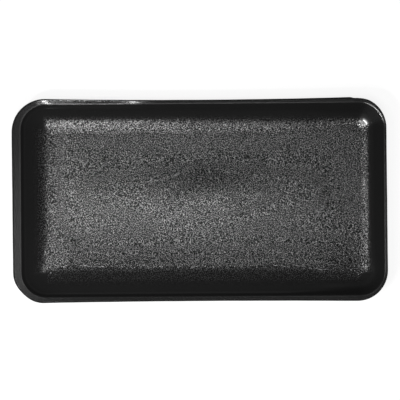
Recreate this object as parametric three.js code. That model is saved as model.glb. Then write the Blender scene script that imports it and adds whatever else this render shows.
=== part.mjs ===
// A shallow foam meat tray, in millimetres: one sheet of black polystyrene foam, drawn into a pan with
// sloping walls and cut round to a narrow lip. X runs along the tray, +Z is up, and the tray stands on
// z = 0 with the middle of its cut outline on the Z axis.
import * as THREE from "three";
import { mergeVertices } from "three/addons/utils/BufferGeometryUtils.js";

// The cut outline, as seen from above with +Y at the back
const LENGTH = 273; // along X
const WIDTH = 148.3; // along Y, near the ends of the long edges
const FRONT_BOW = 1.0; // how far the long edge at -Y comes in at its middle
const BACK_BOW = 1.6; // the same for the long edge at +Y
const FRONT_LEFT_RADIUS = 22;
const FRONT_RIGHT_RADIUS = 20;
const BACK_RIGHT_RADIUS = 21;
const BACK_LEFT_RADIUS = 24;

// The lip, from the crest of the walls out to the cut edge. The sheet was cut a little off the pan's
// middle.
const LEFT_LIP = 6.1;
const RIGHT_LIP = 2.1;
const LONG_LIP = 3.85; // both long sides, where they don't bow in
const LIP_DROP = 0.5; // from the crest down to the cut edge
const LIP_THICKNESS = 2.0; // at the cut edge

// The pan
const HEIGHT = 16.5; // from the surface it stands on to the crest
const FLOOR_THICKNESS = 3.2;
const WALL_THICKNESS = 2.4; // thinner than the floor, because drawing the sheet stretches its walls
const WALL_ANGLE = THREE.MathUtils.degToRad(55); // between a wall and the level
const CREST_CORNER_RADIUS = 18.5; // in plan, at the crest
const FLOOR_CORNER_RADIUS = 3; // in plan, at the edge of the level floor
const FLOOR_FILLET = 12; // inside, where the floor turns up into the walls
const CREST_FILLET = 1.1; // inside, where the walls turn over into the lip
const UNDER_LIP_FILLET = 0.8; // outside, where the walls meet the lip

// The floor's slight crown, which leaves a level band all round for the tray to stand on
const FLOOR_CROWN = 1.2;
const STANDING_BAND = 12;

// How finely curves are cut into facets
const CORNER_STEPS = 10; // round each corner of an outline, an even number
const LONG_STEPS = 14; // along each long side, between its corners
const END_STEPS = 8; // along each end, between its corners
const FLOOR_FILLET_STEPS = 5;
const CREST_FILLET_STEPS = 3;
const UNDER_LIP_STEPS = 2;
const LIP_STEPS = 3; // across the top of the lip

// The sides of every outline, anticlockwise from the front, each with the corner that it starts at: the
// direction that the corner lies in from the middle, and its radius in the cut outline.
const SIDES = [
  { x: -1, y: -1, radius: FRONT_LEFT_RADIUS, steps: LONG_STEPS, bow: FRONT_BOW },
  { x: 1, y: -1, radius: FRONT_RIGHT_RADIUS, steps: END_STEPS, bow: 0 },
  { x: 1, y: 1, radius: BACK_RIGHT_RADIUS, steps: LONG_STEPS, bow: BACK_BOW },
  { x: -1, y: 1, radius: BACK_LEFT_RADIUS, steps: END_STEPS, bow: 0 },
];

const UP = Math.PI / 2;
const DOWN = -Math.PI / 2;
const CREST_LENGTH = LENGTH - LEFT_LIP - RIGHT_LIP;
const CREST_WIDTH = WIDTH - 2 * LONG_LIP;
const PAN_SHIFT = (LEFT_LIP - RIGHT_LIP) / 2; // of the pan's middle, towards +X

// The section's fixed points. x is how far a point lies outside the crest, and y is its height.
const SIN = Math.sin(WALL_ANGLE);
const COS = Math.cos(WALL_ANGLE);
const WALL_RISE = HEIGHT - FLOOR_THICKNESS - (CREST_FILLET + FLOOR_FILLET) * (1 - COS);
const FLOOR_EDGE = -(CREST_FILLET + FLOOR_FILLET) * SIN - (WALL_RISE * COS) / SIN;
const UNDER_FLOOR_EDGE = FLOOR_EDGE - (FLOOR_THICKNESS - WALL_THICKNESS) / SIN;
const UNDER_FILLET = FLOOR_FILLET + FLOOR_THICKNESS; // outside the floor's fillet, round the same height
const UNDER_LIP = HEIGHT - LIP_DROP - LIP_THICKNESS;
const UNDER_WALL_RISE = UNDER_LIP - (UNDER_LIP_FILLET + UNDER_FILLET) * (1 - COS);
const LIP_ROOT = UNDER_FLOOR_EDGE + (UNDER_LIP_FILLET + UNDER_FILLET) * SIN + (UNDER_WALL_RISE * COS) / SIN;

// Lines of the section along an arc.
function arcLines(x, y, radius, from, to, steps) {
  const points = new THREE.ArcCurve(x, y, radius, from, to, to < from).getPoints(steps);
  return points.map((point) => ({ outset: point.x, share: 0, height: point.y }));
}

// The lines of the section, from the level band of the floor over the lip to that of the underside. A line
// lies a share of the way from the pan's outline, that far outside the crest, to the cut outline.
function sectionLines() {
  const crestCentre = HEIGHT - CREST_FILLET;
  const underLipCentre = UNDER_LIP - UNDER_LIP_FILLET;
  const lipTop = [];
  for (let i = 1; i <= LIP_STEPS; i++) {
    const share = i / LIP_STEPS;
    lipTop.push({ outset: 0, share, height: HEIGHT - LIP_DROP * share ** 2 });
  }
  return [
    { outset: FLOOR_EDGE - STANDING_BAND, share: 0, height: FLOOR_THICKNESS },
    ...arcLines(FLOOR_EDGE, UNDER_FILLET, FLOOR_FILLET, DOWN, DOWN + WALL_ANGLE, FLOOR_FILLET_STEPS),
    ...arcLines(0, crestCentre, CREST_FILLET, UP + WALL_ANGLE, UP, CREST_FILLET_STEPS),
    ...lipTop,
    { outset: LIP_ROOT, share: 1, height: UNDER_LIP },
    ...arcLines(LIP_ROOT, underLipCentre, UNDER_LIP_FILLET, UP, UP + WALL_ANGLE, UNDER_LIP_STEPS),
    ...arcLines(UNDER_FLOOR_EDGE, UNDER_FILLET, UNDER_FILLET, DOWN + WALL_ANGLE, DOWN, FLOOR_FILLET_STEPS),
    { outset: UNDER_FLOOR_EDGE - STANDING_BAND, share: 0, height: 0 },
  ];
}

// The stations of every outline, anticlockwise from the middle of the front left corner. A station lies a
// share of the way along a side, and faces out of the outline in its own direction.
function outlineStations() {
  const half = CORNER_STEPS / 2;
  return SIDES.flatMap((side, index) => {
    const next = SIDES[(index + 1) % SIDES.length];
    const out = DOWN + index * (Math.PI / 2);
    const stations = [];
    for (let i = 0; i < half; i++) {
      stations.push({ side, next, share: 0, facing: out - (Math.PI / 4) * (1 - i / half) });
    }
    for (let i = 0; i < side.steps; i++) {
      stations.push({ side, next, share: i / side.steps, facing: out });
    }
    for (let i = 0; i < half; i++) {
      stations.push({ side, next, share: 1, facing: out + (Math.PI / 4) * (i / half) });
    }
    return stations;
  });
}

// A station's point on an outline whose corners have the radii that the function gives.
function outlinePoint({ side, next, share, facing }, length, width, radiusOf) {
  const [start, end] = [side, next].map((corner) => {
    const radius = radiusOf(corner);
    return new THREE.Vector2(
      corner.x * (length / 2 - radius) + radius * Math.cos(facing),
      corner.y * (width / 2 - radius) + radius * Math.sin(facing),
    );
  });
  return start.lerp(end, share);
}

// A station's point on the pan, that far outside the crest. The corners grow from the floor to the crest.
function panPoint(station, outset) {
  const growth = Math.max(0, 1 - outset / FLOOR_EDGE);
  const radius = FLOOR_CORNER_RADIUS + (CREST_CORNER_RADIUS - FLOOR_CORNER_RADIUS) * growth;
  const point = outlinePoint(station, CREST_LENGTH + 2 * outset, CREST_WIDTH + 2 * outset, () => radius);
  point.x += PAN_SHIFT;
  return point;
}

// A station's point on the cut outline.
function cutPoint(station) {
  const point = outlinePoint(station, LENGTH, WIDTH, (corner) => corner.radius);
  const bow = station.side.bow * 4 * station.share * (1 - station.share);
  point.x -= bow * Math.cos(station.facing);
  point.y -= bow * Math.sin(station.facing);
  return point;
}

// The ring of points where a line of the section goes round the tray.
function ringAt(line, stations) {
  return stations.map((station) => {
    const point = panPoint(station, line.outset).lerp(cutPoint(station), line.share);
    return new THREE.Vector3(point.x, point.y, line.height);
  });
}

// How far the floor's crown lifts both its faces.
function crownLift(x, y) {
  const along = Math.abs(x - PAN_SHIFT) / (CREST_LENGTH / 2 + UNDER_FLOOR_EDGE - STANDING_BAND);
  const across = Math.abs(y) / (CREST_WIDTH / 2 + UNDER_FLOOR_EDGE - STANDING_BAND);
  if (along > 1 || across > 1) {
    return 0;
  }
  return FLOOR_CROWN * ((1 - along ** 2) * (1 - across ** 2)) ** 2;
}

// Rows of points that fill a ring, from the front to the back, with the floor's crown.
function floorRows(ring) {
  const columns = CORNER_STEPS + LONG_STEPS;
  const rows = CORNER_STEPS + END_STEPS;
  const [frontLeft, frontRight, backRight, backLeft] = [0, columns, columns + rows, 2 * columns + rows];
  const filled = [];
  for (let j = 0; j <= rows; j++) {
    const v = j / rows;
    const row = [];
    for (let i = 0; i <= columns; i++) {
      const u = i / columns;
      const point = new THREE.Vector3()
        .addScaledVector(ring[i], 1 - v)
        .addScaledVector(ring[backLeft - i], v)
        .addScaledVector(ring[(ring.length - j) % ring.length], 1 - u)
        .addScaledVector(ring[frontRight + j], u)
        .addScaledVector(ring[frontLeft], -(1 - u) * (1 - v))
        .addScaledVector(ring[frontRight], -u * (1 - v))
        .addScaledVector(ring[backRight], -u * v)
        .addScaledVector(ring[backLeft], -(1 - u) * v);
      point.z += crownLift(point.x, point.y);
      row.push(point);
    }
    filled.push(row);
  }
  return filled;
}

// The triangles of a surface given as rows of points, as a flat list of their corners.
function surfaceTriangles(rows) {
  const corners = [];
  for (let i = 0; i + 1 < rows.length; i++) {
    for (let j = 0; j + 1 < rows[i].length; j++) {
      const [a, b] = [rows[i][j], rows[i][j + 1]];
      const [d, c] = [rows[i + 1][j], rows[i + 1][j + 1]];
      corners.push(a, c, b, a, d, c);
    }
  }
  return corners;
}

// The whole tray: its floor, the pan's inside, the lip and the pan's outside in one run of rings, and the
// underside.
function trayGeometry() {
  const stations = outlineStations();
  const rings = sectionLines().map((line) => ringAt(line, stations));
  const closedRings = rings.map((ring) => [...ring, ring[0]]);
  const corners = [
    ...surfaceTriangles(floorRows(rings[0]).reverse()),
    ...surfaceTriangles(closedRings),
    ...surfaceTriangles(floorRows(rings[rings.length - 1])),
  ];
  const geometry = mergeVertices(new THREE.BufferGeometry().setFromPoints(corners));
  geometry.computeVertexNormals();
  return geometry;
}

const blackFoam = new THREE.MeshStandardMaterial({ color: 0x1e1e1e, roughness: 0.4, metalness: 0 });
const tray = new THREE.Mesh(trayGeometry(), blackFoam);
tray.name = "tray";

const meatTray = new THREE.Group();
meatTray.add(tray);

export default meatTray;
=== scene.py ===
import math

import bmesh
import bpy
import numpy as np
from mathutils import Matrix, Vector


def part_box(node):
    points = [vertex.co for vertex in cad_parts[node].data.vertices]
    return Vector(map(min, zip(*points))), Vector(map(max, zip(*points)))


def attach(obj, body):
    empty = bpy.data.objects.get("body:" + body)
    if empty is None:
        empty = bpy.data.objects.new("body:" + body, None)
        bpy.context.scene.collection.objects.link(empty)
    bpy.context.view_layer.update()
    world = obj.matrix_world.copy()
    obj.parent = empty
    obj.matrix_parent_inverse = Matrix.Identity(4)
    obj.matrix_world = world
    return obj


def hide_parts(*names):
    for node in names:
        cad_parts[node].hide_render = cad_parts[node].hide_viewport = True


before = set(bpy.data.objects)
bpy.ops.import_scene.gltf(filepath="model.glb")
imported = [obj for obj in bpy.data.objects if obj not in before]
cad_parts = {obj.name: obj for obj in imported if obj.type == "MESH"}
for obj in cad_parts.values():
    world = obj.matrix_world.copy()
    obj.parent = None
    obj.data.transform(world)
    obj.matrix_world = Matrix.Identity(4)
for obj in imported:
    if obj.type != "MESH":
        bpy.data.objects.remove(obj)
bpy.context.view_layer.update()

# A black foam meat tray seen from straight above: one shell of formed foam, with a crinkled floor,
# smooth sloping walls and a narrow lip that was cut a little unevenly. Lengths are in metres. X runs
# along the tray, towards its narrower lip, Y from front to back and Z up.

low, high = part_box("tray")

# The cut outline
LENGTH = high.x - low.x
WIDTH = high.y - low.y
HEIGHT = high.z
CORNER_RADII = np.array([0.0220, 0.0224, 0.0222, 0.0242])  # front left, front right, back right, back left
FRONT_BOW = 0.0007
BACK_BOW = 0.0013
END_SKEW = 0.004  # how far the ends turn, for each metre across
CORNER_FLAT = 0.0008  # how far the front left corner is cut in, past its arc
CORNER_FLAT_FACING = -0.75 * math.pi
CORNER_FLAT_SPREAD = math.radians(24)
TRIM_STEP = 0.0007  # how far the cut jumps in where the back edge meets its right corner
TRIM_STEP_IN = (0.1095, 0.1130)  # where along X the jump starts and is complete
TRIM_STEP_OUT = (0.1145, 0.1255)  # where the cut starts to come back and has done so
EDGE_WAVE = 0.00003  # how far the cut wanders in and out
EDGE_WAVE_SHAPES = ((190, 1.0), (71, 0.0))  # of its two waves: radians for each metre, and the start
EDGE_BEVEL = 0.0008  # how far the sloping cut runs in, from its bottom to its top
EDGE_SHARES = (0.1, 0.5, 1)  # how far down the cut edge its section lines lie

# The lip
LEFT_LIP = 0.0065
RIGHT_LIP = 0.0021
LONG_LIP = 0.00385
LIP_THICKNESS = 0.0020
LIP_DROP = 0.0005  # of the solid's lip, which this one's underside keeps
CREST_DROP = 0.0004  # of the crest, below the solid's top
LIP_RISE = 0.0003  # from the crest out to the lip's edge
UNDER_LIP_SHARE = 0.94  # how far out the lip's flat underside starts
BACK_LEFT_LEAN = 0.0013  # how far the crest sinks where the lip leans in
LEAN_START = (-0.122, -0.108)  # where along X the lean starts and is full
LEAN_END = (-0.075, -0.030)
LEAN_ROUND_CORNER = 0.06  # the Y from which the left end leans too

# The pan
FLOOR_THICKNESS = 0.0032
WALL_THICKNESS = 0.0024
WALL_ANGLE = math.radians(55)
CREST_CORNER_RADIUS = 0.0185
FLOOR_CORNER_RADIUS = 0.003
FLOOR_FILLET = 0.012
WIDE_FILLET = 0.022  # in the visual model only, everywhere but at the right end
WIDENING = 0.25  # the share of the front and back along which the fillet widens
CREST_FILLET = 0.0011
UNDER_LIP_FILLET = 0.0008
FLOOR_CROWN = 0.0006
STANDING_BAND = 0.012

# The floor's relief: each swell's centre, its spread along X and Y, and its height
SWELLS = (
    ((0.004, 0.004), (0.023, 0.011), 0.0015),
    ((-0.013, -0.008), (0.009, 0.009), 0.0004),
    ((-0.075, 0.006), (0.035, 0.014), 0.0006),
    ((0.070, 0.006), (0.040, 0.014), 0.0007),
)
SWELL_FADE = (0.8, 1.0)  # where the swells fade out, as shares of the way to the standing band
RELIEF_FADE = (0.4, 0.85)  # where the relief fades out, as shares of the section lines up to the crest
FRONT_DISH = 0.0027  # how high the floor rises towards the front, FRONT_DISH_RUN past its start
FRONT_DISH_START = 0.010  # in front of the middle
FRONT_DISH_RUN = 0.039
FRONT_DISH_REACH = 0.046  # how far past its start it stops rising
FRONT_DISH_ENDS = (0.095, 0.120)  # where along X it gets weaker, towards the corners
FRONT_DISH_LOSS = 0.45  # how much weaker it gets there
LEFT_DISH = 0.0015  # how high it rises towards the left, LEFT_DISH_RUN past its start
LEFT_DISH_START = 0.082  # to the left of the middle
LEFT_DISH_RUN = 0.035
LEFT_DISH_FADE = (0.020, 0.060)  # where along Y it fades out, towards the front

# How finely the shell is cut. The outside has one station for each COARSENING of the inside, so
# LONG_STEPS and END_STEPS are multiples of that, and CORNER_STEPS is a multiple of twice as many.
CORNER_STEPS = 24
LONG_STEPS = 304
END_STEPS = 132
COARSENING = 4
FLOOR_FILLET_STEPS = 14
WALL_STEPS = 6
CREST_FILLET_STEPS = 4
LIP_STEPS = 6
UNDER_LIP_FILLET_STEPS = 3
UNDER_WALL_STEPS = 2
UNDER_FILLET_STEPS = 8
WELD_DISTANCE = 1e-6

# The grain, from 1 on the floor to 0 on the stretched walls
LIP_GRAIN = 0.15
BORDER_GRAIN = 0.82  # where the floor's rows crowd together, at its border
GRAIN_FADE = (0.3, 0.8)  # where the grain fades out, as shares of the floor's fillet
CORNER_FADE = (0.0, 0.3)  # where the corners lose theirs, as shares of the same
CORNER_CALM = 0.95  # how much of it they lose
CORNER_SPAN = (0.05, 0.6)  # where a corner starts and is full, for the squared sine of twice its facing
CUT = -1.0  # marks the cut edge, whose open foam is matt
SEED = 11
WAVES = 180
SHORTEST_WAVE = 0.0009
LONGEST_WAVE = 0.0015
CRINKLE_DEPTH = 0.00006

# The skin's finish
BASE_COLOR = (0.010, 0.010, 0.010, 1)
WALL_ROUGHNESS = 0.23
FLOOR_ROUGHNESS = 0.30
CUT_ROUGHENING = 0.6
SKIN_GLOSS = 0.19
LEAST_GLOSS = 0.01
PIT_CONTRAST = 38.0
GRAIN_SCALE = 1600
GRAIN_DEPTH = 0.0001

# The gloss of other places, where the skin's is 1. The left lip's extra gloss is painted sheen, and the
# leaning back lip's and the back right corner's are painted highlights.
LIP_GLOSS = 0.36
LIP_GLOSS_SHARE = 0.65  # how much of it the front, the back and the right lip have
LEFT_LIP_PAINTED_SHEEN = 0.95  # painted sheen: how much more of it the left lip has, which brightens that side
LEANING_PAINTED_HIGHLIGHT = 7.0  # painted highlight: extra gloss on top, where the lip leans in
CORNER_PAINTED_HIGHLIGHT = 6.5  # painted highlight: the extra gloss in the back right corner
CUT_GLOSS = 0.1

# The camera looks straight down, and is turned a little about its own line of sight.
CAMERA_HEIGHT = 1.0
CAMERA_X = 0.0002
CAMERA_TURN = math.radians(-0.4)
VIEW_WIDTH = 0.2898  # across the picture at the lip
SENSOR = 0.036

# The studio: each light's place, the side of its square and its power in watts. All of them face the tray.
LIGHTS = {
    "key": ((-0.31, -0.20, 0.50), 0.015, 1.1),
    "near_front": ((-0.12, -0.20, 0.35), 0.08, 0.7),
    "high_front": ((0.03, -0.30, 0.80), 0.20, 1.1),
    "high_left": ((-0.26, -0.08, 0.80), 0.20, 1.45),
    "overhead": ((0.10, -0.03, 1.20), 0.30, 2.0),
}
WORLD_COLOR = (0.10, 0.10, 0.10, 1)
STUDIO_FLOOR_SIZE = 8.0
PLAIN_FLOOR_COLOR = (0.8, 0.8, 0.8, 1)  # for the light that it throws back on the tray
SEEN_FLOOR_COLOR = (0.2, 0.2, 0.2, 1)
SEEN_FLOOR_GLOW = 0.86  # makes the floor white in the picture, and leaves the shadow on it

CREST_LENGTH = LENGTH - LEFT_LIP - RIGHT_LIP
CREST_WIDTH = WIDTH - 2 * LONG_LIP
PAN_SHIFT = (LEFT_LIP - RIGHT_LIP) / 2
SIN = math.sin(WALL_ANGLE)
COS = math.cos(WALL_ANGLE)
UP = math.pi / 2
DOWN = -math.pi / 2
WALL_RISE = HEIGHT - FLOOR_THICKNESS - (CREST_FILLET + FLOOR_FILLET) * (1 - COS)
FLOOR_EDGE = -(CREST_FILLET + FLOOR_FILLET) * SIN - WALL_RISE * COS / SIN
UNDER_FLOOR_EDGE = FLOOR_EDGE - (FLOOR_THICKNESS - WALL_THICKNESS) / SIN
UNDER_FILLET = FLOOR_FILLET + FLOOR_THICKNESS
UNDER_LIP = HEIGHT - LIP_DROP - LIP_THICKNESS
UNDER_WALL_RISE = UNDER_LIP - (UNDER_LIP_FILLET + UNDER_FILLET) * (1 - COS)
LIP_ROOT = UNDER_FLOOR_EDGE + (UNDER_LIP_FILLET + UNDER_FILLET) * SIN + UNDER_WALL_RISE * COS / SIN
CORNERS = np.array([(-1, -1), (1, -1), (1, 1), (-1, 1)], float)


def smooth(values, start, end):
    """0 before start and 1 after end, with an even change between them."""
    share = np.clip((values - start) / (end - start), 0, 1)
    return share * share * (3 - 2 * share)


def swell(x, y, centre, spread, height):
    """How high a rounded swell on the floor stands at each point."""
    u = (x - centre[0]) / spread[0]
    v = (y - centre[1]) / spread[1]
    return height * np.exp(-(u * u + v * v) / 2)


class Stations:
    """The places round the tray where its outlines are cut.

    They run anticlockwise from the middle of the front left corner.
    """

    def __init__(self, corner_steps, long_steps, end_steps):
        rows = []
        half = corner_steps // 2
        for side in range(4):
            out = DOWN + side * UP
            steps = end_steps if side % 2 else long_steps
            rows += [(side, 0.0, out - (1 - i / half) * UP / 2) for i in range(half)]
            rows += [(side, i / steps, out) for i in range(steps)]
            rows += [(side, 1.0, out + i / half * UP / 2) for i in range(half)]
        self.side = np.array([row[0] for row in rows])
        self.share = np.array([row[1] for row in rows])
        self.facing = np.array([row[2] for row in rows])
        self.out = np.stack([np.cos(self.facing), np.sin(self.facing)], 1)
        self.columns = corner_steps + long_steps
        self.rows = corner_steps + end_steps

    def outline(self, length, width, radii):
        """The stations' points on a rounded rectangle with those four corner radii."""
        ends = []
        for corner in (self.side, (self.side + 1) % 4):
            radius = radii[corner][:, None]
            centre = CORNERS[corner] * (np.array([length, width]) / 2 - radius)
            ends.append(centre + radius * self.out)
        share = self.share[:, None]
        return ends[0] * (1 - share) + ends[1] * share

    def pan(self, outset):
        """The stations' points on the pan, that far outside its crest."""
        growth = max(0.0, 1 - outset / FLOOR_EDGE)
        radius = FLOOR_CORNER_RADIUS + (CREST_CORNER_RADIUS - FLOOR_CORNER_RADIUS) * growth
        points = self.outline(CREST_LENGTH + 2 * outset, CREST_WIDTH + 2 * outset, np.full(4, radius))
        return points + [PAN_SHIFT, 0]

    def cut(self, inset=0.0):
        """The stations' points on the cut outline, with its bows, flat corner, step and wander."""
        points = self.outline(LENGTH, WIDTH, CORNER_RADII)
        bows = np.array([FRONT_BOW, 0, BACK_BOW, 0])[self.side]
        inward = bows * 4 * self.share * (1 - self.share)
        inward += END_SKEW * np.abs(self.out[:, 0]) * (WIDTH / 2 + np.sign(self.out[:, 0]) * points[:, 1])
        from_corner = np.abs((self.facing - CORNER_FLAT_FACING + math.pi) % (2 * math.pi) - math.pi)
        inward += CORNER_FLAT * np.exp(-((from_corner / CORNER_FLAT_SPREAD) ** 2))
        on_back = (self.side == 2) & (points[:, 1] > WIDTH / 4)
        jump = smooth(points[:, 0], *TRIM_STEP_IN) * (1 - smooth(points[:, 0], *TRIM_STEP_OUT))
        inward += TRIM_STEP * on_back * jump
        quick, slow = (np.sin(self.run() * rate + start) for rate, start in EDGE_WAVE_SHAPES)
        inward += inset + EDGE_WAVE * (1 + quick * slow)
        return points - self.out * inward[:, None]

    def fillet_width(self):
        """0 where the floor's fillet is the narrow one, at the right end, and 1 where it is wide."""
        from_right = np.choose(self.side, [1 - self.share, 0.0, self.share, 1.0])
        return smooth(from_right, 0.0, WIDENING)

    def corner(self):
        """1 in the middle of each corner and 0 along the sides."""
        return smooth(np.sin(2 * self.facing) ** 2, *CORNER_SPAN)

    def lean(self):
        """How far the crest sinks, so that the lip leans in. It leans most at the back left."""
        points = self.outline(LENGTH, WIDTH, CORNER_RADII)
        back = (self.side == 2) | ((self.side == 3) & (points[:, 1] > LEAN_ROUND_CORNER))
        reach = smooth(points[:, 0], *LEAN_START) * (1 - smooth(points[:, 0], *LEAN_END))
        return back * reach * BACK_LEFT_LEAN

    def run(self):
        """How far each station lies along the outline."""
        points = self.outline(LENGTH, WIDTH, CORNER_RADII)
        steps = np.linalg.norm(points - np.roll(points, 1, 0), axis=1)
        return np.cumsum(steps)


def arc(x, y, radius, start, end, steps):
    """Section lines along an arc, as outset, share of the lip and height."""
    angles = np.linspace(start, end, steps + 1)
    return [(x + radius * math.cos(a), 0.0, y + radius * math.sin(a)) for a in angles]


def wall_lines(first, last, steps):
    """Section lines that divide a straight wall between two others."""
    shares = np.arange(1, steps) / steps
    return [tuple(np.array(first) * (1 - s) + np.array(last) * s) for s in shares]


def inside_lines(radius):
    """The inside's section lines, from the floor's edge to the lip's, for that radius of the fillet."""
    rise = HEIGHT - FLOOR_THICKNESS - (CREST_FILLET + radius) * (1 - COS)
    floor_edge = -(CREST_FILLET + radius) * SIN - rise * COS / SIN
    centre = FLOOR_THICKNESS + radius
    fillet = arc(floor_edge, centre, radius, DOWN, DOWN + WALL_ANGLE, FLOOR_FILLET_STEPS)
    top = HEIGHT - CREST_DROP
    crest = arc(0, top - CREST_FILLET, CREST_FILLET, UP + WALL_ANGLE, UP, CREST_FILLET_STEPS)
    shares = [i / LIP_STEPS for i in range(1, LIP_STEPS + 1)]
    lip = [(0.0, share, top + LIP_RISE * share) for share in shares]
    return fillet + wall_lines(fillet[-1], crest[0], WALL_STEPS) + crest + lip


def lean_weights():
    """How far each of the inside's section lines sinks where the lip leans in."""
    fillet = [0.0] * (FLOOR_FILLET_STEPS + 1)
    wall = np.arange(1, WALL_STEPS) / WALL_STEPS
    crest = [1.0] * (CREST_FILLET_STEPS + 1)
    lip = 1 - np.arange(1, LIP_STEPS + 1) / LIP_STEPS
    return np.concatenate([fillet, wall, crest, lip])


def relief_weights():
    """How much of the floor's relief each of the inside's section lines keeps. It fades out up the wall."""
    floor_to_crest = FLOOR_FILLET_STEPS + WALL_STEPS
    fade = 1 - smooth(np.arange(floor_to_crest + 1) / floor_to_crest, *RELIEF_FADE)
    return np.concatenate([fade, [0.0] * (CREST_FILLET_STEPS + LIP_STEPS)])


def inside_grain():
    """The share of the floor's grain on each of the inside's section lines. The stretched wall has none."""
    climb = np.arange(FLOOR_FILLET_STEPS + 1) / FLOOR_FILLET_STEPS
    fillet = 1 - smooth(climb, *GRAIN_FADE)
    fillet[0] = BORDER_GRAIN
    rest = [0.0] * (WALL_STEPS - 1 + CREST_FILLET_STEPS + 1)
    return np.concatenate([fillet, rest, [LIP_GRAIN] * LIP_STEPS])


def floor_grain(rows, columns):
    """The share of the grain over the floor's grid. It is less in the crowded rows along the border."""
    from_end = [np.minimum(np.arange(count), np.arange(count)[::-1]) for count in (rows, columns)]
    from_border = np.minimum.outer(*from_end)
    return BORDER_GRAIN + (1 - BORDER_GRAIN) * smooth(from_border, 0, CORNER_STEPS // 2 + 2)


def outside_lines():
    """The outside's section lines, from the lip's edge to the underside's."""
    root_centre = UNDER_LIP - UNDER_LIP_FILLET
    root = arc(LIP_ROOT, root_centre, UNDER_LIP_FILLET, UP, UP + WALL_ANGLE, UNDER_LIP_FILLET_STEPS)
    fillet = arc(UNDER_FLOOR_EDGE, UNDER_FILLET, UNDER_FILLET, DOWN + WALL_ANGLE, DOWN, UNDER_FILLET_STEPS)
    wall = wall_lines(root[-1], fillet[0], UNDER_WALL_STEPS)
    return [(LIP_ROOT, UNDER_LIP_SHARE, UNDER_LIP)] + root + wall + fillet


def ring(stations, line, bevel=0.0):
    """The ring of points where a section line goes round the tray."""
    outset, share, height = line
    plan = stations.pan(outset) * (1 - share) + stations.cut(bevel) * share
    return np.column_stack([plan, np.full(len(plan), height)])


def fill(points, columns, rows):
    """A grid of points that fills a ring, its rows from front to back."""
    count = len(points)
    u = (np.arange(columns + 1) / columns)[None, :, None]
    v = (np.arange(rows + 1) / rows)[:, None, None]
    front = points[: columns + 1][None]
    right = points[columns : columns + rows + 1][:, None]
    back = points[columns + rows : 2 * columns + rows + 1][::-1][None]
    left = points[(count - np.arange(rows + 1)) % count][:, None]
    corner = [points[i] for i in (0, columns, columns + rows, 2 * columns + rows)]
    grid = front * (1 - v) + back * v + left * (1 - u) + right * u
    grid = grid - corner[0] * (1 - u) * (1 - v) - corner[1] * u * (1 - v)
    return grid - corner[2] * u * v - corner[3] * (1 - u) * v


def floor_relief(x, y):
    """How far the floor rises: its crown, and the shallow swells that forming left in it."""
    along = np.abs(x - PAN_SHIFT) / (CREST_LENGTH / 2 + UNDER_FLOOR_EDGE - STANDING_BAND)
    across = np.abs(y) / (CREST_WIDTH / 2 + UNDER_FLOOR_EDGE - STANDING_BAND)
    inside = (along < 1) & (across < 1)
    crown = inside * FLOOR_CROWN * ((1 - along**2) * (1 - across**2)) ** 2
    swells = sum(swell(x, y, *shape) for shape in SWELLS)
    return crown + swells * (1 - smooth(np.maximum(along, across), *SWELL_FADE))


def dish(x, y):
    """How far the floor inside rises towards the front and the left, where it runs gently into the walls."""
    front = FRONT_DISH * (np.clip(-y - FRONT_DISH_START, 0, FRONT_DISH_REACH) / FRONT_DISH_RUN) ** 2
    front *= 1 - FRONT_DISH_LOSS * smooth(np.abs(x), *FRONT_DISH_ENDS)
    left = LEFT_DISH * (np.maximum(-x - LEFT_DISH_START, 0) / LEFT_DISH_RUN) ** 2
    return front + left * (1 - smooth(-y, *LEFT_DISH_FADE))


class Surface:
    """Collects points and faces, and says where each point lies."""

    def __init__(self):
        self.points = []
        self.faces = []
        self.grain = []
        self.gloss = []
        self.count = 0

    def add(self, points, grain=0.0, gloss=1.0):
        """Adds an array of points with their grain and gloss, and gives their numbers in the same layout."""
        flat = points.reshape(-1, 3)
        self.points.append(flat)
        self.grain.append(np.broadcast_to(grain, points.shape[:-1]).reshape(-1))
        self.gloss.append(np.broadcast_to(gloss, points.shape[:-1]).reshape(-1))
        numbers = np.arange(self.count, self.count + len(flat)).reshape(points.shape[:-1])
        self.count += len(flat)
        return numbers

    def quads(self, numbers):
        """Faces a grid of points, whose rows go outwards over the inside or up the floor."""
        a, b = numbers[:-1, :-1], numbers[:-1, 1:]
        d, c = numbers[1:, :-1], numbers[1:, 1:]
        self.faces += np.stack([a, d, c, b], -1).reshape(-1, 4).tolist()

    def strip(self, fine, coarse):
        """Faces the gap between a fine ring and a coarse one that lies after it."""
        step = len(fine) // len(coarse)
        for k, start in enumerate(coarse):
            end = coarse[(k + 1) % len(coarse)]
            for i in range(step):
                a = fine[k * step + i]
                b = fine[(k * step + i + 1) % len(fine)]
                near = start if i < step / 2 else end
                self.faces.append([int(a), int(near), int(b)])
                if i + 1 == step // 2:
                    self.faces.append([int(b), int(start), int(end)])


def inside_points(stations):
    """The inside's rings of points, from the floor's edge to the lip's, before the floor's relief."""
    narrow = np.array([ring(stations, line, EDGE_BEVEL) for line in inside_lines(FLOOR_FILLET)])
    wide = np.array([ring(stations, line, EDGE_BEVEL) for line in inside_lines(WIDE_FILLET)])
    width = stations.fillet_width()[None, :, None]
    return narrow * (1 - width) + wide * width


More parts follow.
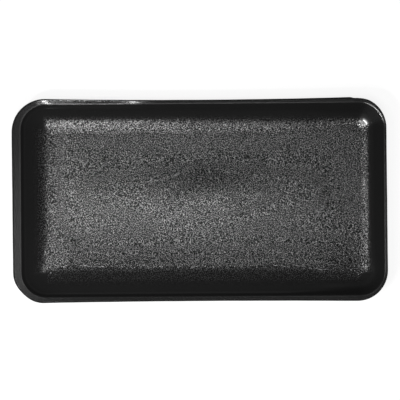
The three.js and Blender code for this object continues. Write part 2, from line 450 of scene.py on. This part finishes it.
def ring_gloss_and_painted_highlights(stations, rows):
    """The gloss of each point on the inside's and the cut edge's rings, next to the skin's, with painted
    highlights in the back right corner and on the leaning back lip, and painted sheen on the left lip.
    """
    lip_end = rows - len(EDGE_SHARES)
    lip_start = lip_end - LIP_STEPS
    gloss = np.ones((rows, len(stations.side)))
    # Painted highlight: the back right corner's fillet, wall and crest get far more gloss than the skin
    # elsewhere.
    painted_highlight_corner = (stations.out > 0).all(1) * stations.corner()
    gloss[:lip_start] = 1 + (CORNER_PAINTED_HIGHLIGHT - 1) * painted_highlight_corner
    # Painted sheen: the lip gets more gloss the more it faces left, so the left lip shines brighter.
    left = np.maximum(-stations.out[:, 0], 0)
    # Painted highlight: extra gloss on the back lip where it leans in, most at the back left.
    painted_lean_highlight = LEANING_PAINTED_HIGHLIGHT * stations.lean() / BACK_LEFT_LEAN
    gloss[lip_start:lip_end] = LIP_GLOSS * (LIP_GLOSS_SHARE + LEFT_LIP_PAINTED_SHEEN * left) + painted_lean_highlight
    gloss[lip_end:] = CUT_GLOSS
    return gloss


def ring_grain(stations, rows):
    """The grain of each point on the same rings. The corners are stretched most, so they are smooth."""
    grain = np.concatenate([inside_grain(), [CUT] * len(EDGE_SHARES)])[:, None]
    climb = np.clip(np.arange(rows) / FLOOR_FILLET_STEPS, 0, 1)
    smoothing = 1 - CORNER_CALM * smooth(climb, *CORNER_FADE)[:, None] * stations.corner()
    return grain * np.where(grain > 0, smoothing, 1)


def close_ring(numbers):
    """A ring's columns of point numbers, with the first one again at the end."""
    return np.column_stack([numbers, numbers[:, :1]])


def add_inside(surface, stations):
    """Adds the floor, the walls, the lip and the cut edge, and gives the cut edge's lowest ring."""
    inside = inside_points(stations)
    floor = fill(inside[0], stations.columns, stations.rows)
    for points, share in ((floor, 1), (inside, relief_weights()[:, None])):
        x, y = points[..., 0], points[..., 1]
        points[..., 2] += share * (floor_relief(x, y) + dish(x, y))
    inside[..., 2] -= lean_weights()[:, None] * stations.lean()
    low_edge = ring(stations, (0.0, 1.0, UNDER_LIP))
    edge = [inside[-1] * (1 - share) + low_edge * share for share in EDGE_SHARES]
    rows = np.concatenate([inside, edge])
    numbers = surface.add(rows, ring_grain(stations, len(rows)), ring_gloss_and_painted_highlights(stations, len(rows)))
    surface.quads(close_ring(numbers))
    floor_numbers = surface.add(floor, floor_grain(*floor.shape[:2]))
    surface.quads(floor_numbers[::-1])
    return numbers[-1]


def add_outside(surface, stations, edge):
    """Adds the outside and the underside, from the ring of the cut edge on."""
    outer = np.array([ring(stations, line) for line in outside_lines()])
    numbers = surface.add(outer)
    surface.strip(edge, numbers[0])
    surface.quads(close_ring(numbers))
    under = fill(outer[-1], stations.columns, stations.rows)
    under[..., 2] += floor_relief(under[..., 0], under[..., 1])
    surface.quads(surface.add(under))


def shell_mesh():
    """The whole shell, with its grain and gloss as values of its points."""
    surface = Surface()
    fine = Stations(CORNER_STEPS, LONG_STEPS, END_STEPS)
    coarse = Stations(CORNER_STEPS // COARSENING, LONG_STEPS // COARSENING, END_STEPS // COARSENING)
    edge = add_inside(surface, fine)
    add_outside(surface, coarse, edge)
    mesh = bpy.data.meshes.new("foam_tray")
    mesh.from_pydata(np.concatenate(surface.points).tolist(), [], surface.faces)
    # The gloss values hold painted highlights in the back right corner and on the leaning back lip, and
    # painted sheen on the left lip.
    for name, values in (("grain", surface.grain), ("gloss", surface.gloss)):
        layer = mesh.attributes.new(name, "FLOAT", "POINT")
        layer.data.foreach_set("value", np.concatenate(values))
    return mesh


def crinkle(points):
    """The height of the foam's crinkled skin: many small waves that run in every direction."""
    random = np.random.default_rng(SEED)
    lengths = random.uniform(SHORTEST_WAVE, LONGEST_WAVE, WAVES)
    directions = random.normal(size=(WAVES, 3))
    directions /= np.linalg.norm(directions, axis=1)[:, None]
    starts = random.uniform(0, 2 * math.pi, WAVES)
    waves = np.cos(points @ (directions * 2 * math.pi / lengths[:, None]).T + starts)
    return CRINKLE_DEPTH * math.sqrt(2 / WAVES) * waves.sum(1)


def read_points(mesh, values, name, width):
    """Reads one vector or number for each of a mesh's points."""
    found = np.empty(len(values) * width)
    values.foreach_get(name, found)
    return found.reshape(-1, width) if width > 1 else found


def crinkle_skin(mesh):
    """Moves the points in or out along the surface, as far as each one's share of the grain says."""
    points = read_points(mesh, mesh.vertices, "co", 3)
    normals = read_points(mesh, mesh.vertex_normals, "vector", 3)
    share = np.maximum(read_points(mesh, mesh.attributes["grain"].data, "value", 1), 0)
    moved = points + normals * (share * crinkle(points))[:, None]
    mesh.vertices.foreach_set("co", moved.ravel())
    mesh.update()


def weld(mesh):
    """Joins the points that two surfaces share."""
    work = bmesh.new()
    work.from_mesh(mesh)
    bmesh.ops.remove_doubles(work, verts=work.verts, dist=WELD_DISTANCE)
    bmesh.ops.recalc_face_normals(work, faces=work.faces)
    work.to_mesh(mesh)
    work.free()


def build_tray():
    mesh = shell_mesh()
    weld(mesh)
    crinkle_skin(mesh)
    for face in mesh.polygons:
        face.use_smooth = True
    tray = bpy.data.objects.new("foam_tray", mesh)
    bpy.context.scene.collection.objects.link(tray)
    return tray


def math_node(tree, operation, *values, clamp=False):
    """Adds a math node whose inputs are sockets or plain numbers, and gives its output."""
    node = tree.nodes.new("ShaderNodeMath")
    node.operation = operation
    node.use_clamp = clamp
    for socket, value in zip(node.inputs, values):
        if isinstance(value, bpy.types.NodeSocket):
            tree.links.new(value, socket)
        else:
            socket.default_value = value
    return node.outputs["Value"]


def point_value(tree, name):
    """The value of that name that each point of the mesh has."""
    node = tree.nodes.new("ShaderNodeAttribute")
    node.attribute_name = name
    return node.outputs["Fac"]


def foam_material():
    """Black foam: a satin skin, with the grain's pits and ridges, a matt cut edge, and the painted
    highlights and sheen that the gloss values carry.
    """
    material = bpy.data.materials.new("black_foam")
    material.use_nodes = True
    tree = material.node_tree
    skin = tree.nodes["Principled BSDF"]
    skin.inputs["Base Color"].default_value = BASE_COLOR
    mark = point_value(tree, "grain")
    gloss = point_value(tree, "gloss")
    grain_share = math_node(tree, "MAXIMUM", mark, 0.0)
    cut_share = math_node(tree, "MULTIPLY", mark, -1.0, clamp=True)
    rough = math_node(tree, "MULTIPLY_ADD", cut_share, CUT_ROUGHENING, WALL_ROUGHNESS)
    rough = math_node(tree, "MULTIPLY_ADD", grain_share, FLOOR_ROUGHNESS - WALL_ROUGHNESS, rough)
    tree.links.new(rough, skin.inputs["Roughness"])
    place = tree.nodes.new("ShaderNodeTexCoord")
    grain = tree.nodes.new("ShaderNodeTexNoise")
    grain.inputs["Scale"].default_value = GRAIN_SCALE
    grain.inputs["Detail"].default_value = 0.0
    tree.links.new(place.outputs["Object"], grain.inputs["Vector"])
    # The pits of the grain hide the light, and its ridges catch it.
    pits = math_node(tree, "SUBTRACT", grain.outputs["Fac"], 0.5)
    pits = math_node(tree, "MULTIPLY", pits, grain_share)
    level = math_node(tree, "MULTIPLY_ADD", pits, PIT_CONTRAST * SKIN_GLOSS, SKIN_GLOSS)
    # Painted highlights and sheen: the gloss values raise the shine in the back right corner, on the leaning
    # back lip and on the left lip.
    level = math_node(tree, "MULTIPLY", level, gloss)
    level = math_node(tree, "MAXIMUM", level, LEAST_GLOSS)
    tree.links.new(level, skin.inputs["Specular IOR Level"])
    bump = tree.nodes.new("ShaderNodeBump")
    bump.inputs["Distance"].default_value = GRAIN_DEPTH
    bump.inputs["Strength"].default_value = 1.0
    tree.links.new(math_node(tree, "MULTIPLY", grain.outputs["Fac"], grain_share), bump.inputs["Height"])
    tree.links.new(bump.outputs["Normal"], skin.inputs["Normal"])
    return material


def diffuse_node(tree, color):
    """Adds a matt shader of that colour and gives its output."""
    node = tree.nodes.new("ShaderNodeBsdfDiffuse")
    node.inputs["Color"].default_value = color
    return node.outputs["BSDF"]


def floor_material():
    """A pale floor that the camera sees as white, and that keeps the tray's shadow."""
    material = bpy.data.materials.new("pale_floor")
    material.use_nodes = True
    tree = material.node_tree
    tree.nodes.remove(tree.nodes["Principled BSDF"])
    plain = diffuse_node(tree, PLAIN_FLOOR_COLOR)
    white = tree.nodes.new("ShaderNodeEmission")
    white.inputs["Color"].default_value = (1, 1, 1, 1)
    white.inputs["Strength"].default_value = SEEN_FLOOR_GLOW
    seen = tree.nodes.new("ShaderNodeAddShader")
    tree.links.new(diffuse_node(tree, SEEN_FLOOR_COLOR), seen.inputs[0])
    tree.links.new(white.outputs["Emission"], seen.inputs[1])
    path = tree.nodes.new("ShaderNodeLightPath")
    looked_at = math_node(tree, "MAXIMUM", path.outputs["Is Camera Ray"], path.outputs["Is Glossy Ray"])
    looked_at = math_node(tree, "MAXIMUM", looked_at, path.outputs["Is Transmission Ray"])
    choice = tree.nodes.new("ShaderNodeMixShader")
    tree.links.new(looked_at, choice.inputs["Fac"])
    tree.links.new(plain, choice.inputs[1])
    tree.links.new(seen.outputs["Shader"], choice.inputs[2])
    tree.links.new(choice.outputs["Shader"], tree.nodes["Material Output"].inputs["Surface"])
    return material


def build_floor():
    bpy.ops.mesh.primitive_plane_add(size=STUDIO_FLOOR_SIZE, location=(0, 0, 0))
    floor = bpy.context.object
    floor.name = "studio_floor"
    floor.data.materials.append(floor_material())


def build_camera():
    lens = SENSOR * (CAMERA_HEIGHT - HEIGHT) / VIEW_WIDTH
    data = bpy.data.cameras.new("camera")
    data.sensor_width = SENSOR * 1000
    data.lens = lens * 1000
    camera = bpy.data.objects.new("camera", data)
    camera.location = (CAMERA_X, 0, CAMERA_HEIGHT)
    camera.rotation_euler = (0, 0, CAMERA_TURN)
    bpy.context.scene.collection.objects.link(camera)
    bpy.context.scene.camera = camera


def area_light(name, place, size, power):
    data = bpy.data.lights.new(name, "AREA")
    data.shape = "SQUARE"
    data.size = size
    data.energy = power
    lamp = bpy.data.objects.new(name, data)
    lamp.location = place
    lamp.rotation_euler = (-Vector(place)).to_track_quat("-Z", "Y").to_euler()
    bpy.context.scene.collection.objects.link(lamp)


def build_light():
    for name, (place, size, power) in LIGHTS.items():
        area_light(name, place, size, power)
    world = bpy.data.worlds.new("studio")
    world.use_nodes = True
    world.node_tree.nodes["Background"].inputs["Color"].default_value = WORLD_COLOR
    bpy.context.scene.world = world


bpy.context.scene.view_settings.view_transform = "Standard"
build_camera()
build_light()
build_floor()
tray = build_tray()
tray.data.materials.append(foam_material())
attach(tray, "root")
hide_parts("tray")
